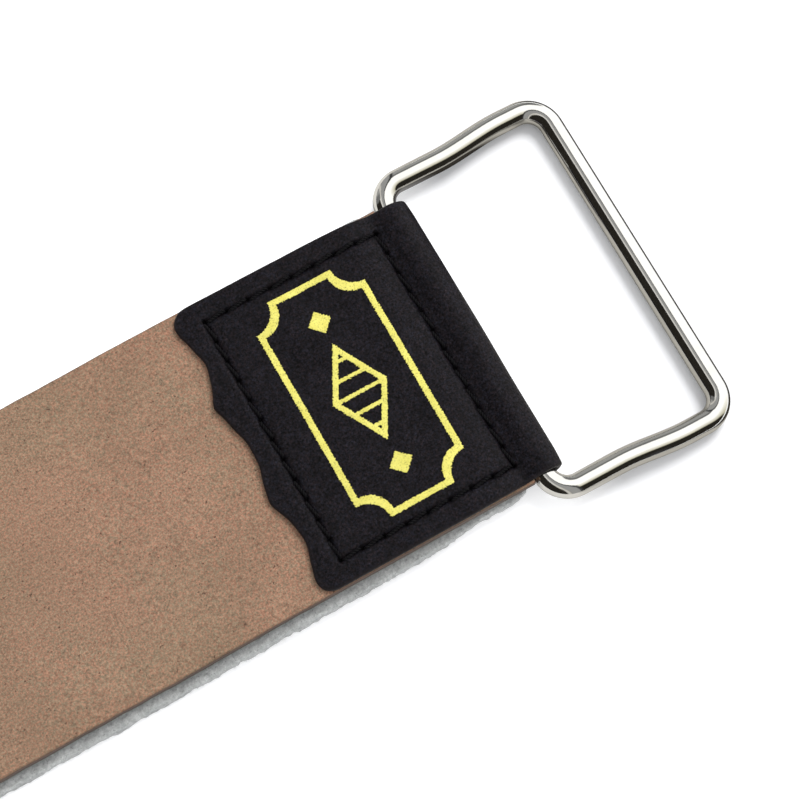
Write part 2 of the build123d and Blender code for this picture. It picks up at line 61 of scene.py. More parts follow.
# the strop's own sizes, as in its CAD
FLAP = 1.6 * MM
LEATHER = 3.2 * MM
FELT = 3.0 * MM
LAYER_GAP = 0.02 * MM
STRAPS_HALF = (LEATHER + FELT) / 2
STACK = 2 * FLAP + LEATHER + FELT
MID = STACK / 2
INTERFACE = FLAP + FELT
BORE = 2.7 * MM
TUBE = BORE + FLAP
PINCH = 0.8 * MM
SEAM_NEAR = 9.2 * MM
SEAM_FAR = 47.4 * MM
SEAM_SIDE = 27.0 * MM
SKIVE_END = 16.0 * MM
STRAP_END = 7.0 * MM
SAG_START = 58.0 * MM
SAG_LENGTH = 30.0 * MM
SAG_DROP = FLAP + LAYER_GAP
LEATHER_HALF = 31.75 * MM
FELT_HALF = 32.75 * MM
FELT_CORNER = 4.5 * MM
CAP_HALF = 31.6 * MM

# end caps
CAP_CELL = 0.5 * MM
CAP_FINE_CELL = 0.22 * MM
CAP_FINE_REACH = 1.5 * MM
CAP_RIM = 0.9 * MM
CAP_RIM_CELL = 0.15 * MM
FOLD_STEPS = 41
TILT_STEP = 0.05 * MM
# how far the painted highlight along the cap's rounded edges reaches
EDGE_HIGHLIGHT_REACH = 0.45 * MM
FOLD_NARROWING = 0.6 * MM
FOLD_NARROWING_REACH = 22.0 * MM
EDGE_ROUND = 0.55 * MM
LINING_ROUND = 0.3 * MM
GROOVE_DIP = 0.34 * MM
GROOVE_HALF = 0.62 * MM
PILLOW_DIP = 0.16 * MM
PILLOW_HALF = 2.2 * MM
VALLEY_DIP = 0.62 * MM
VALLEY_HALF = 2.2 * MM
VALLEY_OFFSET = 0.9 * MM
HOLE_DIP = 0.42 * MM
HOLE_HALF = 0.5 * MM
# reach of the painted shade in the needle holes and along the thread's groove, and how dark it is in the
# groove
HOLE_SHADE_REACH = 0.58 * MM
GROOVE_SHADE_REACH = 0.5 * MM
GROOVE_DARKNESS = 0.7
FLAP_LEVEL = 0.8 * (STRAPS_HALF - PINCH)
MARGIN_DROOP = 0.22 * MM
STITCHES_ALONG = 8
STITCHES_ACROSS = 12
FREE_DEPTH = 53.6 * MM
STRETCH_FROM = 48.2 * MM
CUSP_DEPTHS = (53.5 * MM, 53.8 * MM, 54.1 * MM, 53.1 * MM)
CUSP_PLACES = (-28.0 * MM, -10.5 * MM, 10.8 * MM, 27.2 * MM)
SCALLOP_DIP = 2.15 * MM
SCALLOP_FULLNESS = 1.7
CUSP_BLUNTNESS = 0.12
CORNER_ROUND = 3.4 * MM

# straps
CLEARING = 6.0 * MM
FELT_SHIFT = 1.15 * MM
FELT_SHIFT_START = 19.0 * MM
FELT_SHIFT_REACH = 15.0 * MM
BEND_STEPS = 6
LEATHER_CELL = 1.1 * MM
LEATHER_STEPS = 64
LEATHER_BEVEL = 0.5 * MM
FELT_CELL = 0.55 * MM
FELT_STEPS = 46
FELT_ROUND = 0.7 * MM
FELT_SOFT_RIM = 1.2 * MM

# unevenness, as waves of a length and a height
FLAP_WAVES = ((15 * MM, 0.06 * MM), (4 * MM, 0.018 * MM))
FOLD_WAVES = ((22 * MM, 0.025 * MM),)
CUT_WAVES = ((8.5 * MM, 0.045 * MM),)
LEATHER_WAVES = ((45 * MM, 0.07 * MM), (6 * MM, 0.015 * MM))
LEATHER_EDGE_WAVES = ((60 * MM, 0.09 * MM), (9 * MM, 0.03 * MM))
FELT_WAVES = ((1.5 * MM, 0.10 * MM), (7 * MM, 0.09 * MM))
FELT_RIM_WAVES = ((1.8 * MM, 0.12 * MM),)

# loose fibres of the felt
FIBRES = 7000
FIBRE_RADIUS = 0.022 * MM
FIBRE_TAPER = 0.6
FIBRE_ROOT = 0.1 * MM
FIBRE_HEIGHTS = (0.2, 0.85)
FIBRE_LENGTHS = (0.35 * MM, 1.15 * MM)
FIBRE_CURL = 0.35
FIBRE_STEPS = 4
FIBRE_FLOOR = 0.05 * MM

# gold ornament, its outline as in the CAD
FOIL_CENTRE = 28.0 * MM
FOIL_LENGTH = 24.0 * MM
FOIL_WIDTH = 49.0 * MM
FOIL_LINE = 1.3 * MM
FOIL_THIN_LINE = 0.8 * MM
FOIL_NOTCH = 5.0 * MM
FOIL_BIG = (12.0 * MM, 22.0 * MM)
FOIL_SMALL = 5.0 * MM
FOIL_SMALL_PLACE = 16.0 * MM
FOIL_BARS = 5
FOIL_CELL = 0.14 * MM
FOIL_MOST_PULL = 0.9 * FOIL_CELL
FOIL_LEAST_SLOPE = 0.3
FOIL_RAGGED = 0.09 * MM
FOIL_RAGGED_LENGTH = 0.42 * MM
FOIL_LIFT = 0.03 * MM
FOIL_SINK = 0.03 * MM

# sewing thread
PLY_RADIUS = 0.2 * MM
PLY_TURN = 0.17 * MM
PLY_SIDES = 8
STITCH_STEPS = 34
TWIST_PITCH = 1.3 * MM
STITCH_SLANT = 0.34 * MM
THREAD_DEPTH = 0.34 * MM
THREAD_DIVE = 1.1 * MM
DIVE_SHARE = 0.09

# wire, its outline as in the CAD
WIRE = 2.4 * MM
BUTT_GAP = 0.2 * MM
LOOP_NEAR_HALF = 35.7 * MM
LOOP_FAR_HALF = 37.0 * MM
LOOP_REACH = 38.9 * MM
LOOP_NEAR_BEND = 5.1 * MM
LOOP_FAR_BEND = 5.4 * MM
LOOP_FLARE = (13.5 * MM, 30.0 * MM)
RING_BEND = 5.3 * MM
RING_APEX_BEND = 7.0 * MM
RING_BAR_HALF = 30.5 * MM
RING_BASE_ANGLE = math.radians(45)
WIRE_SIDES = 40
WIRE_FLATTENING = 0.02
FLATTENED_REACH = 3.5 * MM

# spring behind the bolt
SPRING_WIRE = 0.25 * MM
SPRING_COIL = 2.3 * MM
SPRING_TURNS = 4.5
SPRING_SHARE = 0.98
SPRING_CLOSED = 0.08
SPRING_STEPS = 260
SPRING_SIDES = 12

HANDLE_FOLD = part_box("handle_cap")[1].x
HANGER_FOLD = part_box("hanger_cap")[0].x
JOINTS = {joint["name"]: joint for joint in frame["joints"]}


# ---- small tools ----


def smooth_step(t):
    """Half a cosine wave from 0 to 1."""
    return (1 - np.cos(np.pi * np.clip(t, 0, 1))) / 2


def ripples(seed, wavelength, waves=28, dims=2):
    """A smooth random field of about unit height, made of plane waves."""
    rng = np.random.default_rng(seed)
    ways = rng.normal(size=(waves, dims))
    ways /= np.linalg.norm(ways, axis=1)[:, None]
    ways *= (2 * np.pi / wavelength) * rng.uniform(0.6, 1.5, waves)[:, None]
    phases = rng.uniform(0, 2 * np.pi, waves)

    def field(*coordinates):
        total = 0
        for way, phase in zip(ways, phases):
            total = total + np.sin(sum(c * w for c, w in zip(coordinates, way)) + phase)
        return total / math.sqrt(waves / 2)

    return field


def uneven(seed, waves, *coordinates):
    """Random waves added up, each given by its length and height."""
    total = 0
    for i, (length, height) in enumerate(waves):
        total = total + height * ripples(seed + i, length, dims=len(coordinates))(*coordinates)
    return total


def hump(distance, width):
    """One at no distance, fading smoothly to nought."""
    return np.exp(-((distance / width) ** 2))


def places(start, end, step, fine=None, near=(), reach=0.0):
    """Positions from start to end, a fine step apart near the given places."""
    found = [start]
    while found[-1] < end:
        here = found[-1]
        close = any(abs(here - place) < reach for place in near)
        found.append(here + (fine if close else step))
    found = np.array(found)
    return start + (found - start) * (end - start) / (found[-1] - start)


def placed(name, data):
    """A new object in the scene."""
    made = bpy.data.objects.new(name, data)
    bpy.context.scene.collection.objects.link(made)
    return made


def new_object(name, vertices, faces, material, values=None):
    """A smooth-shaded mesh whose faces point outwards."""
    mesh = bpy.data.meshes.new(name)
    mesh.from_pydata(np.asarray(vertices).tolist(), [], faces)
    work = bmesh.new()
    work.from_mesh(mesh)
    bmesh.ops.recalc_face_normals(work, faces=work.faces)
    work.to_mesh(mesh)
    work.free()
    for key, column in (values or {}).items():
        layer = mesh.attributes.new(key, "FLOAT", "POINT")
        layer.data.foreach_set("value", np.asarray(column, np.float32).ravel())
    mesh.polygons.foreach_set("use_smooth", np.ones(len(mesh.polygons), bool))
    mesh.materials.append(material)
    return placed(name, mesh)


def grid_quads(index):
    """Four-cornered faces over a grid of vertex numbers."""
    a, b = index[:-1, :-1], index[1:, :-1]
    c, d = index[1:, 1:], index[:-1, 1:]
    return np.stack([a, b, c, d], -1).reshape(-1, 4)


def strip_quads(one, other):
    """Faces between two rows of vertex numbers."""
    return np.stack([one[:-1], one[1:], other[1:], other[:-1]], -1)


def thick_sheet(name, outer, inner, material, values=None):
    """A closed sheet between an outer and an inner grid of points."""
    rows, columns = outer.shape[:2]
    top = np.arange(rows * columns).reshape(rows, columns)
    low = top + rows * columns
    faces = [
        grid_quads(top),
        grid_quads(low),
        strip_quads(top[0], low[0]),
        strip_quads(top[-1], low[-1]),
        strip_quads(top[:, 0], low[:, 0]),
        strip_quads(top[:, -1], low[:, -1]),
    ]
    vertices = np.concatenate([outer.reshape(-1, 3), inner.reshape(-1, 3)])
    return new_object(name, vertices, np.concatenate(faces).tolist(), material, values)


def bar_faces(first, count, sides):
    """The faces of a closed bar made of rings of points, with flat ends."""
    index = first + np.arange(count * sides).reshape(count, sides)
    wrapped = np.concatenate([index, index[:, :1]], 1)
    return grid_quads(wrapped).tolist() + [index[0].tolist(), index[-1].tolist()]


def closed_bar(name, rings, material, values=None):
    """A closed skin over a row of rings of points."""
    faces = bar_faces(0, *rings.shape[:2])
    return new_object(name, rings.reshape(-1, 3), faces, material, values)


def tube_rings(path, radius, sides):
    """Rings of points round a path, turning with it as little as possible."""
    path = np.asarray(path, float)
    ways = np.gradient(path, axis=0)
    ways /= np.linalg.norm(ways, axis=1)[:, None]
    side = np.cross(ways[0], (0, 0, 1.0))
    if np.linalg.norm(side) < 0.1:
        side = np.cross(ways[0], (0, 1.0, 0))
    radii = np.broadcast_to(radius, len(path))
    turns = np.linspace(0, 2 * np.pi, sides, endpoint=False)
    rings = []
    for point, way, reach in zip(path, ways, radii):
        side = side - way * (side @ way)
        side /= np.linalg.norm(side)
        third = np.cross(way, side)
        ring = np.outer(np.cos(turns), side) + np.outer(np.sin(turns), third)
        rings.append(point + reach * ring)
    return np.array(rings)


# ---- materials ----


def node(tree, kind, inputs=None, **settings):
    """A shader node, its inputs set to values or joined to other nodes."""
    made = tree.nodes.new(kind)
    for key, value in settings.items():
        setattr(made, key, value)
    for key, value in (inputs or {}).items():
        if isinstance(value, bpy.types.NodeSocket):
            tree.links.new(value, made.inputs[key])
        else:
            made.inputs[key].default_value = value
    return made


def maths(tree, operation, a, b):
    """A sum, product or the like of two values."""
    return node(tree, "ShaderNodeMath", {0: a, 1: b}, operation=operation).outputs[0]


def in_millimetres(tree, stretch=(1, 1, 1)):
    """The piece's own coordinates, in millimetres."""
    place = node(tree, "ShaderNodeTexCoord").outputs["Object"]
    scale = tuple(s / MM for s in stretch)
    return node(tree, "ShaderNodeMapping", {"Vector": place, "Scale": scale}).outputs[0]


def noise(tree, place, scale, detail=3.0, roughness=0.55, distortion=0.0):
    """Cloudy noise, its scale in lumps to the millimetre."""
    inputs = {
        "Vector": place,
        "Scale": scale,
        "Detail": detail,
        "Roughness": roughness,
        "Distortion": distortion,
    }
    return node(tree, "ShaderNodeTexNoise", inputs).outputs[0]


def spread(tree, value, low, high, to_low=0.0, to_high=1.0):
    """A value stretched from one range to another, and kept inside it."""
    inputs = {"Value": value, 1: low, 2: high, 3: to_low, 4: to_high}
    return node(tree, "ShaderNodeMapRange", inputs, clamp=True).outputs[0]


def between(tree, value, low, high):
    """Noise stretched over a range of values."""
    return spread(tree, value, 0.3, 0.7, low, high)


def band(tree, value, rise, fall):
    """One where a value lies between two soft edges, nought outside them."""
    return maths(tree, "MULTIPLY", spread(tree, value, *rise), spread(tree, value, *fall))


def blend_colours(tree, amount, first, second, kind="MIX"):
    """Two colours mixed."""
    made = node(tree, "ShaderNodeMix", data_type="RGBA", blend_type=kind)
    for place, value in ((0, amount), (6, first), (7, second)):
        socket = made.inputs[place]
        if isinstance(value, bpy.types.NodeSocket):
            tree.links.new(value, socket)
        elif hasattr(value, "__len__"):
            socket.default_value = (*value, 1)
        else:
            socket.default_value = value
    return made.outputs[2]


def shaded(tree, colour, amount):
    """A colour multiplied by a grey amount."""
    grey = node(tree, "ShaderNodeCombineColor", {0: amount, 1: amount, 2: amount}).outputs[0]
    return blend_colours(tree, 1.0, colour, grey, "MULTIPLY")


def tinted(tree, colour, amount, first, second):
    """A colour multiplied by a blend of two tints."""
    return blend_colours(tree, 1.0, colour, blend_colours(tree, amount, first, second), "MULTIPLY")


def bumped(tree, height, distance, strength):
    """A surface normal tilted by a height in millimetres."""
    inputs = {"Height": height, "Distance": distance * MM, "Strength": strength}
    return node(tree, "ShaderNodeBump", inputs).outputs[0]


def painted(name, build):
    """A material whose nodes are laid out by a function."""
    material = bpy.data.materials.new(name)
    material.use_nodes = True
    tree = material.node_tree
    tree.nodes.clear()
    surface = node(tree, "ShaderNodeBsdfPrincipled", build(tree))
    output = node(tree, "ShaderNodeOutputMaterial")
    tree.links.new(surface.outputs[0], output.inputs[0])
    return material


def attribute(tree, name):
    """A number stored at the mesh's vertices."""
    return node(tree, "ShaderNodeAttribute", attribute_name=name).outputs["Fac"]


def honing_leather(tree):
    """Tan leather with a short nap, its cut edges burnished dark."""
    place = in_millimetres(tree)
    cloud = noise(tree, place, 0.045, 4.0)
    streak = noise(tree, in_millimetres(tree, (0.35, 1, 1)), 0.35, 3.0)
    nap = noise(tree, place, 2.6, 4.0, 0.7)
    fine = noise(tree, place, 6.5, 2.0, 0.6)
    grain = noise(tree, place, 1.3, 3.0, 0.6)
    pale, deep = (0.252, 0.158, 0.103), (0.224, 0.139, 0.090)
    base = blend_colours(tree, spread(tree, cloud, 0.35, 0.65), pale, deep)
    tone = maths(tree, "ADD", between(tree, nap, 0.62, 1.38), between(tree, streak, -0.05, 0.05))
    tone = maths(tree, "ADD", tone, between(tree, grain, -0.19, 0.19))
    base = shaded(tree, base, tone)
    wash = spread(tree, noise(tree, place, 0.03, 2.0), 0.40, 0.60)
    base = tinted(tree, base, wash, (1.03, 0.985, 0.985), (0.97, 1.01, 1.0))
    hue = spread(tree, noise(tree, place, 2.9, 2.0), 0.42, 0.58)
    base = tinted(tree, base, hue, (1.115, 0.965, 0.955), (0.89, 1.03, 1.04))
    specks = spread(tree, fine, 0.58, 0.70, 0.0, 0.62)
    base = blend_colours(tree, specks, base, (0.085, 0.045, 0.028))
    flecks = spread(tree, noise(tree, place, 1.5, 2.0, 0.5), 0.68, 0.72, 0.0, 0.8)
    base = blend_colours(tree, flecks, base, (0.055, 0.025, 0.018))
    spots = node(tree, "ShaderNodeTexVoronoi", {"Vector": place, "Scale": 0.028, "Randomness": 1.0})
    ragged = maths(tree, "ADD", spots.outputs["Distance"], maths(tree, "MULTIPLY", nap, 0.03))
    stain = spread(tree, ragged, 0.04, 0.065, 0.7, 0.0)
    base = blend_colours(tree, stain, base, (0.100, 0.066, 0.052))
    worn = maths(tree, "MULTIPLY", attribute(tree, "edge"), spread(tree, nap, 0.2, 0.7, 0.7, 1.0))
    burnish = blend_colours(tree, between(tree, streak, 0, 1), (0.024, 0.012, 0.009), (0.040, 0.022, 0.017))
    height = maths(tree, "ADD", nap, maths(tree, "MULTIPLY", fine, 0.6))
    return {
        "Base Color": blend_colours(tree, worn, base, burnish),
        "Roughness": spread(tree, worn, 0, 1, 0.92, 0.55),
        "Specular IOR Level": 0.25,
        "Sheen Weight": 0.12,
        "Sheen Roughness": 0.6,
        "Sheen Tint": (0.8, 0.68, 0.58, 1),
        "Normal": bumped(tree, height, 0.09, 0.7),
    }


def grey_felt(tree):
    """Pressed grey wool, mottled, with matted fibres and dark motes."""
    place = in_millimetres(tree)
    cloud = noise(tree, place, 0.25, 3.0)
    clump = noise(tree, place, 1.1, 4.0, 0.65, 0.6)
    hair = noise(tree, in_millimetres(tree, (1, 1.6, 2.2)), 5.0, 3.0, 0.7, 1.2)
    tone = maths(tree, "MULTIPLY", between(tree, clump, 0.66, 1.34), between(tree, cloud, 0.9, 1.1))
    tone = maths(tree, "MULTIPLY", tone, between(tree, hair, 0.72, 1.28))
    motes = spread(tree, noise(tree, place, 2.3, 2.0, 0.6), 0.60, 0.68, 0.0, 0.6)
    wool = shaded(tree, (0.415, 0.425, 0.415), tone)
    return {
        "Base Color": blend_colours(tree, motes, wool, (0.12, 0.12, 0.12)),
        "Roughness": 0.97,
        "Specular IOR Level": 0.1,
        "Sheen Weight": 0.3,
        "Sheen Roughness": 0.7,
        "Normal": bumped(tree, maths(tree, "ADD", clump, hair), 0.28, 0.8),
    }


def felt_hair(tree):
    """Loose wool fibres."""
    tone = between(tree, noise(tree, in_millimetres(tree), 0.7, 2.0), 0.8, 1.2)
    return {
        "Base Color": shaded(tree, (0.43, 0.44, 0.43), tone),
        "Roughness": 0.9,
        "Specular IOR Level": 0.15,
    }


def cap_leather(tree):
    """Black pebbled leather with painted shade where the thread sinks in and in the grain's low creases,
    its rounded edges a little paler as a painted highlight.
    """
    place = in_millimetres(tree)
    pebble = node(tree, "ShaderNodeTexVoronoi", {"Vector": place, "Scale": 1.45}, feature="SMOOTH_F1")
    pebble.inputs["Smoothness"].default_value = 0.5
    crease = noise(tree, place, 0.5, 4.0, 0.6, 0.8)
    fine = noise(tree, place, 4.5, 3.0, 0.6)
    speck = noise(tree, place, 2.3, 4.0, 0.75)
    # painted shade: the colour is darker where the grain's creases and fine pits lie low; the specks are
    # the leather's own
    tone = between(tree, crease, 0.6, 1.5)
    tone = maths(tree, "MULTIPLY", tone, spread(tree, fine, 0.28, 0.72, 0.4, 1.8))
    tone = maths(tree, "MULTIPLY", tone, spread(tree, speck, 0.36, 0.70, 0.0, 2.9))
    patch = spread(tree, noise(tree, place, 1.7, 2.0), 0.4, 0.6)
    black = blend_colours(tree, patch, (0.0046, 0.0032, 0.0040), (0.0036, 0.0035, 0.0054))
    # painted shade: the cap is darker and less shiny in the needle holes and along the thread's groove
    hole_shade = attribute(tree, "hole")
    black = shaded(tree, shaded(tree, black, tone), spread(tree, hole_shade, 0.1, 0.8, 1.0, 0.1))
    # painted highlight: the cap is paler along its rounded edges
    edge_highlight = maths(tree, "MULTIPLY", attribute(tree, "edge"), 0.6)
    cells = maths(tree, "SUBTRACT", 1.0, pebble.outputs["Distance"])
    height = maths(tree, "ADD", maths(tree, "MULTIPLY", cells, 0.8), maths(tree, "MULTIPLY", crease, 1.4))
    height = maths(tree, "ADD", height, maths(tree, "MULTIPLY", fine, 0.35))
    return {
        "Base Color": blend_colours(tree, edge_highlight, black, (0.017, 0.014, 0.015)),
        "Roughness": spread(tree, speck, 0.35, 0.65, 0.62, 0.40),
        "Specular IOR Level": spread(tree, hole_shade, 0.1, 0.8, 0.12, 0.02),
        "Normal": bumped(tree, height, 0.11, 0.8),
    }


def black_thread(tree):
    """Waxed black thread."""
    strand = noise(tree, in_millimetres(tree), 5.0, 2.0)
    return {
        "Base Color": shaded(tree, (0.0040, 0.0038, 0.0045), between(tree, strand, 0.6, 1.5)),
        "Roughness": between(tree, strand, 0.5, 0.75),
        "Specular IOR Level": 0.15,
        "Normal": bumped(tree, strand, 0.04, 0.5),
    }


def gold_foil(tree):
    """Stamped pale gold foil, thin and speckled where the grain took less of it."""
    place = in_millimetres(tree)
    grain = noise(tree, place, 3.4, 3.0, 0.7)
    patch = noise(tree, place, 0.6, 2.0)
    base = blend_colours(tree, between(tree, patch, 0, 1), (0.68, 0.62, 0.120), (0.76, 0.71, 0.170))
    rubbed = spread(tree, grain, 0.54, 0.70, 0.0, 0.85)
    return {
        "Base Color": blend_colours(tree, rubbed, base, (0.13, 0.11, 0.03)),
        "Metallic": 0.35,
        "Roughness": between(tree, grain, 0.36, 0.55),
        "Normal": bumped(tree, grain, 0.03, 0.5),
    }


def plated(base, low, high, ripple):
    """Bright plating: its greys, how rough it is, and how much the surface ripples."""

    def build(tree):
        place = in_millimetres(tree)
        cloud = noise(tree, place, 0.22, 3.0)
        pit = noise(tree, place, 1.6, 4.0, 0.6)
        hair = noise(tree, in_millimetres(tree, (0.3, 3, 3)), 3.0, 2.0)
        dull = spread(tree, pit, 0.35, 0.75, low, high)
        scratched = spread(tree, hair, 0.6, 0.8, 0, 0.05)
        return {
            "Base Color": shaded(tree, base, between(tree, cloud, 0.94, 1.04)),
            "Metallic": 1.0,
            "Roughness": maths(tree, "ADD", dull, scratched),
            "Normal": bumped(tree, maths(tree, "ADD", cloud, pit), ripple, 0.5),
        }

    return build


MATERIALS = {
    "honing_leather": painted("honing_leather_nap", honing_leather),
    "grey_felt": painted("pressed_grey_felt", grey_felt),
    "felt_hair": painted("loose_felt_hair", felt_hair),
    "cap_leather": painted("black_cap_leather", cap_leather),
    "black_thread": painted("waxed_black_thread", black_thread),
    "gold_foil": painted("stamped_gold_foil", gold_foil),
    "chrome_wire": painted("bright_plated_wire", plated((0.62, 0.615, 0.60), 0.05, 0.11, 0.010)),
    "chrome_casting": painted("plated_casting", plated((0.58, 0.575, 0.565), 0.10, 0.22, 0.045)),
    "spring_steel": painted("drawn_spring_steel", plated((0.42, 0.42, 0.43), 0.22, 0.35, 0.02)),
}


# ---- end caps ----


def straps_half(depth):
    """Half the height between the flaps, by distance in from the fold's outer edge."""
    pinched = STRAPS_HALF - PINCH
    far = smooth_step((depth - SEAM_NEAR) / (SKIVE_END - SEAM_NEAR))
    near = smooth_step((depth - TUBE) / (SEAM_NEAR - TUBE))
    return np.where(
        depth >= SEAM_NEAR,
        pinched + (STRAPS_HALF - pinched) * far,
        BORE + (pinched - BORE) * near,
    )


def cap_half(depth):
    """Half the cap's width, a little less at the fold."""
    return CAP_HALF - FOLD_NARROWING * smooth_step(1 - depth / FOLD_NARROWING_REACH)


def scallop_depth(y, seed):
    """How deep the cap's hand-cut inner edge reaches, by place across the strop."""
    depth = np.interp(y, CUSP_PLACES, CUSP_DEPTHS)
    for low, high in zip(CUSP_PLACES[:-1], CUSP_PLACES[1:]):
        t = np.clip((y - low) / (high - low), 0, 1)
        from_cusp = 1 - np.abs(2 * t - 1)
        from_cusp = np.hypot(from_cusp, CUSP_BLUNTNESS) - CUSP_BLUNTNESS * (1 - from_cusp)
        depth = depth - SCALLOP_DIP * (1 - (1 - np.clip(from_cusp, 0, 1)) ** SCALLOP_FULLNESS)
    start = CAP_HALF - CORNER_ROUND
    past = np.clip(np.abs(y) - start, 0, CORNER_ROUND)
    depth = depth - (CORNER_ROUND - np.sqrt(CORNER_ROUND**2 - past**2))
    return depth + uneven(seed, CUT_WAVES, y)


def stitch_places():
    """Where the needle went through, in order round the seam, as depth and Y."""
    run = SEAM_FAR - SEAM_NEAR
    step = 2 * SEAM_SIDE / STITCHES_ACROSS
    first = [(SEAM_NEAR + run * i / STITCHES_ALONG, -SEAM_SIDE) for i in range(STITCHES_ALONG)]
    far = [(SEAM_FAR, -SEAM_SIDE + step * i) for i in range(STITCHES_ACROSS)]
    second = [(SEAM_FAR - run * i / STITCHES_ALONG, SEAM_SIDE) for i in range(STITCHES_ALONG)]
    near = [(SEAM_NEAR, SEAM_SIDE - step * i) for i in range(STITCHES_ACROSS)]
    return np.array(first + far + second + near)


HOLES = stitch_places()


def seam_distance(depth, y):
    """Distance from the stitched rectangle."""
    middle = (SEAM_NEAR + SEAM_FAR) / 2
    out_x = np.abs(depth - middle) - (SEAM_FAR - SEAM_NEAR) / 2
    out_y = np.abs(y) - SEAM_SIDE
    outside = np.hypot(np.maximum(out_x, 0), np.maximum(out_y, 0))
    return np.abs(outside + np.minimum(np.maximum(out_x, out_y), 0))


def hole_distance(depth, y):
    """Distance from the nearest needle hole."""
    nearest = np.full(np.shape(depth), np.inf)
    for hole in HOLES:
        nearest = np.minimum(nearest, np.hypot(depth - hole[0], y - hole[1]))
    return nearest


def valley(depth):
    """How far the flaps are drawn together along the seam beside the fold."""
    return VALLEY_DIP * hump(depth - SEAM_NEAR + VALLEY_OFFSET, VALLEY_HALF)


def side_droop(y):
    """How far the cap's margin outside the seam hangs down."""
    return MARGIN_DROOP * smooth_step((np.abs(y) - SEAM_SIDE) / (CAP_HALF - SEAM_SIDE))


def pressed(depth, y):
    """How far the thread has pulled the cap's surface down."""
    from_seam = seam_distance(depth, y)
    groove = GROOVE_DIP * hump(from_seam, GROOVE_HALF)
    pillow = PILLOW_DIP * hump(from_seam, PILLOW_HALF)
    dimple = HOLE_DIP * hump(hole_distance(depth, y), HOLE_HALF)
    end_droop = MARGIN_DROOP * smooth_step((depth - SEAM_FAR) / (FREE_DEPTH - SEAM_FAR))
    return groove + pillow + dimple + side_droop(y) + end_droop + valley(depth)


def rounding(distance, radius):
    """How far a rounded edge falls below the flat, by distance from the edge."""
    short = np.clip(radius - distance, 0, radius)
    return radius - np.sqrt(radius**2 - short**2)


def flap_grid(nominal, across, cut_seed, wave_seed):
    """A flap's outer and inner points and how near its edges they lie."""
    depth, y = np.meshgrid(nominal, across, indexing="ij")
    end = scallop_depth(y * CAP_HALF, cut_seed)
    past = np.maximum(depth - STRETCH_FROM, 0) / (FREE_DEPTH - STRETCH_FROM)
    depth = np.minimum(depth, STRETCH_FROM) + past * (end - STRETCH_FROM)
    y = y * cap_half(depth)
    slope = np.gradient(end, across * CAP_HALF, axis=1)
    free = (end - depth) / np.sqrt(1 + slope**2)
    gap = np.minimum(free, cap_half(depth) - np.abs(y))
    height = straps_half(depth) + FLAP / 2
    tilt = (straps_half(depth + TILT_STEP) - straps_half(depth - TILT_STEP)) / (2 * TILT_STEP)
    length = np.sqrt(1 + tilt**2)
    waves = uneven(wave_seed, FLAP_WAVES, depth, y)
    out = FLAP / 2 - rounding(gap, EDGE_ROUND) - pressed(depth, y) + waves
    inward = FLAP / 2 - rounding(gap, LINING_ROUND)
    outer = np.stack([depth - out * tilt / length, y, height + out / length], -1)
    inner = np.stack([depth + inward * tilt / length, y, height - inward / length], -1)
    return outer, inner, hump(gap, EDGE_HIGHLIGHT_REACH)


def tube_grid(across, seed):
    """The same for the fold round the wire, from its top to its underside."""
    turns = np.radians(np.linspace(90, -90, FOLD_STEPS))[1:-1]
    turn, y = np.meshgrid(turns, across, indexing="ij")
    middle = (BORE + TUBE) / 2
    depth = TUBE - middle * np.cos(turn)
    y = y * cap_half(depth)
    gap = cap_half(depth) - np.abs(y)
    waves = uneven(seed, FOLD_WAVES, turn * TUBE, y)
    out = FLAP / 2 - rounding(gap, EDGE_ROUND) + waves - side_droop(y)
    inward = FLAP / 2 - rounding(gap, LINING_ROUND)
    grids = []
    for reach in (middle + out, middle - inward):
        grids.append(np.stack([TUBE - reach * np.cos(turn), y, reach * np.sin(turn)], -1))
    return grids[0], grids[1], hump(gap, EDGE_HIGHLIGHT_REACH)


def to_frame(local, fold, side):
    """Places in the frame, from depth, Y and height above the stack's middle."""
    return np.stack([fold - side * local[..., 0], local[..., 1], local[..., 2] + MID], -1)


def hole_shade_share(outer):
    """One in the needle holes, less in the thread's groove, nought elsewhere; this is where painted shade
    darkens the cap.
    """
    depth, y, height = np.moveaxis(outer, -1, 0)
    in_hole = hump(hole_distance(depth, y), HOLE_SHADE_REACH)
    in_groove = GROOVE_DARKNESS * hump(seam_distance(depth, y), GROOVE_SHADE_REACH)
    on_flap = np.abs(height) > FLAP_LEVEL
    return np.maximum(in_hole, in_groove) * on_flap


def end_cap(name, fold, side, seed):
    """A folded leather cap: upper flap, fold round the wire, lower flap."""
    seams = (SEAM_NEAR, SEAM_FAR, FREE_DEPTH)
    nominal = places(TUBE, FREE_DEPTH, CAP_CELL, CAP_FINE_CELL, seams, CAP_FINE_REACH)
    rim = places(0, CAP_RIM, CAP_RIM_CELL)[:-1]
    nominal = np.unique(np.concatenate([nominal, FREE_DEPTH - rim]))
    cells = [size / CAP_HALF for size in (CAP_CELL, CAP_FINE_CELL, CAP_FINE_REACH)]
    half = places(0, 1, cells[0], cells[1], (SEAM_SIDE / CAP_HALF, 1.0), cells[2])
    across = np.concatenate([-half[:0:-1], half])
    top = flap_grid(nominal, across, seed + 10, seed + 20)
    low = flap_grid(nominal, across, seed + 11, seed + 22)
    tube = tube_grid(across, seed + 30)
    flip = np.array([1, 1, -1])
    outer = np.concatenate([top[0][::-1], tube[0], low[0] * flip])
    inner = np.concatenate([top[1][::-1], tube[1], low[1] * flip])
    nearness = np.concatenate([top[2][::-1], tube[2], low[2]])
    return thick_sheet(
        name,
        to_frame(outer, fold, side),
        to_frame(inner, fold, side),
        MATERIALS["cap_leather"],
        {"edge": np.tile(nearness.ravel(), 2), "hole": np.tile(hole_shade_share(outer).ravel(), 2)},
    )


# ---- thread ----


